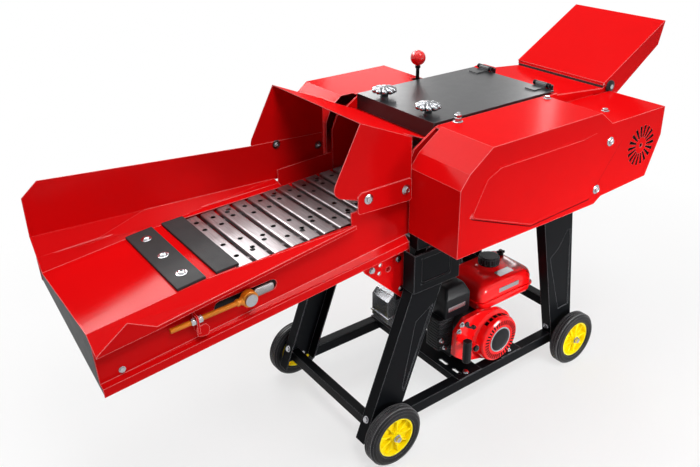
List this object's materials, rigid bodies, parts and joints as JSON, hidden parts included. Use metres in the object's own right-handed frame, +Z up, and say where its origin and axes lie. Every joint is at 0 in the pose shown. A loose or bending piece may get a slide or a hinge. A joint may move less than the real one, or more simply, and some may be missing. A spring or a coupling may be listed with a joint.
{
  "type": "chaff cutter",
  "caption": "Wheeled chaff cutter with a slat conveyor tray, feed hood, covered knife rotor, tilting discharge chute and a petrol engine driving it by belts.",
  "frame": {"origin": "on the floor, midway between the wheels", "axes": "+X along the feed toward the discharge, +Y to the belt side, +Z up"},
  "size_m": [2.1178, 0.825, 1.2],
  "materials": {
    "red_paint": "gloss powder coat",
    "black_paint": "satin powder coat",
    "black_plastic": "moulded",
    "red_plastic": "polished",
    "tyre_rubber": "ribbed",
    "yellow_rim": "moulded",
    "strip_rubber": "matt",
    "zinc": "zinc plated",
    "orange_screw": "yellow passivated",
    "galvanized": "galvanized",
    "steel": "machined",
    "cast": "as cast",
    "chrome_knob": "polished",
    "engine_alloy": "painted dark grey",
    "silver_sheet": "pressed sheet"
  },
  "bodies": {
    "frame": {"base_frame": "black_paint", "engine_beds": "black_paint", "front_legs": "black_paint", "rear_legs": "black_paint", "leg_caps": "black_plastic", "deck_frame": "black_paint", "wheel_axles": "zinc", "hex_bolts": "zinc", "tray": "red_paint", "tray_end_plate": "black_paint", "tray_brackets": "red_paint", "rubber_strips": "strip_rubber", "dome_bolts": "zinc", "hood": "red_paint", "takeup_screws": "orange_screw", "side_plate_right": "red_paint", "side_plate_left": "red_paint", "rotor_housing": "red_paint", "roof": "red_paint", "fixed_knife": "steel", "bearings": "cast", "right_guard": "red_paint", "left_cover": "red_paint", "belt_guard": "red_paint", "feed_gearbox": "cast", "drive_belts": "strip_rubber", "engine_block": "engine_alloy", "recoil_cover": "red_paint", "fuel_tank": "red_paint", "air_cleaner": "black_plastic", "muffler": "silver_sheet", "pull_handle": "black_plastic"},
    "wheel_fr": {"tyre_fr": "tyre_rubber", "rim_fr": "yellow_rim"},
    "wheel_fl": {"tyre_fl": "tyre_rubber", "rim_fl": "yellow_rim"},
    "wheel_rr": {"tyre_rr": "tyre_rubber", "rim_rr": "yellow_rim"},
    "wheel_rl": {"tyre_rl": "tyre_rubber", "rim_rl": "yellow_rim"},
    "rotor": {"rotor_shaft": "steel", "rotor_discs": "cast", "rotor_knives": "steel", "flywheel": "cast", "rotor_pulley": "cast"},
    "engine_shaft": {"drive_shaft": "steel"},
    "feed_roller_low": {"lower_roller": "steel"},
    "carrier": {"roller_carrier": "cast"},
    "feed_roller_top": {"upper_roller": "steel"},
    "head_drum": {"head_shaft": "steel"},
    "tail_drum": {"tail_shaft": "steel"},
    "slats_top": {"top_run": "galvanized"},
    "slats_return": {"bottom_run": "galvanized"},
    "cover": {"top_cover": "black_paint"},
    "knob_right": {"hand_knob_right": "chrome_knob"},
    "knob_left": {"hand_knob_left": "chrome_knob"},
    "spout": {"chute": "red_paint"},
    "lever": {"shift_lever": "black_paint", "lever_ball": "red_plastic"},
    "cap": {"fuel_cap": "black_plastic"}
  },
  "joints": [
    {"name": "wheel_fr_roll", "type": "hinge", "parent": "frame", "child": "wheel_fr", "pos_m": [-0.425, -0.28, 0.1], "axis": [0, 1, 0], "continuous": true},
    {"name": "wheel_fl_roll", "type": "hinge", "parent": "frame", "child": "wheel_fl", "pos_m": [-0.425, 0.28, 0.1], "axis": [0, 1, 0], "continuous": true},
    {"name": "wheel_rr_roll", "type": "hinge", "parent": "frame", "child": "wheel_rr", "pos_m": [0.425, -0.28, 0.1], "axis": [0, 1, 0], "continuous": true},
    {"name": "wheel_rl_roll", "type": "hinge", "parent": "frame", "child": "wheel_rl", "pos_m": [0.425, 0.28, 0.1], "axis": [0, 1, 0], "continuous": true},
    {"name": "rotor_spin", "type": "hinge", "parent": "frame", "child": "rotor", "pos_m": [0.478, 0, 0.886], "axis": [0, 1, 0], "continuous": true},
    {"name": "engine_spin", "type": "hinge", "parent": "frame", "child": "engine_shaft", "pos_m": [0.072, 0, 0.222], "axis": [0, 1, 0], "continuous": true},
    {"name": "feed_turn", "type": "hinge", "parent": "frame", "child": "feed_roller_low", "pos_m": [0.26931, 0, 0.80289], "axis": [0, 1, 0], "range_deg": [-33.34, 33.34]},
    {"name": "carrier_lift", "type": "slide", "parent": "frame", "child": "carrier", "axis": [0, 0, 1], "range_m": [0, 0.022]},
    {"name": "upper_turn", "type": "hinge", "parent": "carrier", "child": "feed_roller_top", "pos_m": [0.26931, 0, 0.91783], "axis": [0, 1, 0], "range_deg": [-25, 25]},
    {"name": "head_turn", "type": "hinge", "parent": "frame", "child": "head_drum", "pos_m": [0.14479, 0, 0.77132], "axis": [0, 1, 0], "range_deg": [-30.5, 30.5]},
    {"name": "tail_turn", "type": "hinge", "parent": "frame", "child": "tail_drum", "pos_m": [-0.84884, 0, 0.71925], "axis": [0, 1, 0], "range_deg": [-30.5, 30.5]},
    {"name": "top_travel", "type": "slide", "parent": "frame", "child": "slats_top", "axis": [0.9986, 0, 0.0523], "range_m": [-0.0264, 0.0264]},
    {"name": "return_travel", "type": "slide", "parent": "frame", "child": "slats_return", "axis": [0.9986, 0, 0.0523], "range_m": [-0.0264, 0.0264]},
    {"name": "cover_open", "type": "hinge", "parent": "frame", "child": "cover", "pos_m": [0.31, 0, 1.054], "axis": [0, 1, 0], "range_deg": [0, 100]},
    {"name": "knob_right_turn", "type": "hinge", "parent": "cover", "child": "knob_right", "pos_m": [-0.165, -0.103, 1.075], "axis": [0, 0, 1], "continuous": true},
    {"name": "knob_left_turn", "type": "hinge", "parent": "cover", "child": "knob_left", "pos_m": [-0.165, 0.103, 1.075], "axis": [0, 0, 1], "continuous": true},
    {"name": "spout_tilt", "type": "hinge", "parent": "frame", "child": "spout", "pos_m": [0.585, 0, 1.011], "axis": [0, 1, 0], "range_deg": [-15, 20]},
    {"name": "lever_shift", "type": "hinge", "parent": "frame", "child": "lever", "pos_m": [0.066, 0.209, 0.962], "axis": [0, 1, 0], "range_deg": [-12, 0]},
    {"name": "cap_turn", "type": "hinge", "parent": "frame", "child": "cap", "pos_m": [0.176, -0.076, 0.42], "axis": [0, 0, 1], "range_deg": [0, 90]}
  ],
  "couplings": [
    {"joint": "engine_spin", "follows": "rotor_spin", "ratio": 2},
    {"joint": "upper_turn", "follows": "feed_turn", "ratio": -0.72581},
    {"joint": "head_turn", "follows": "feed_turn", "ratio": 0.89985},
    {"joint": "tail_turn", "follows": "feed_turn", "ratio": 0.89985},
    {"joint": "top_travel", "follows": "feed_turn", "m_per_rad": 0.045},
    {"joint": "return_travel", "follows": "feed_turn", "m_per_rad": -0.045}
  ]
}
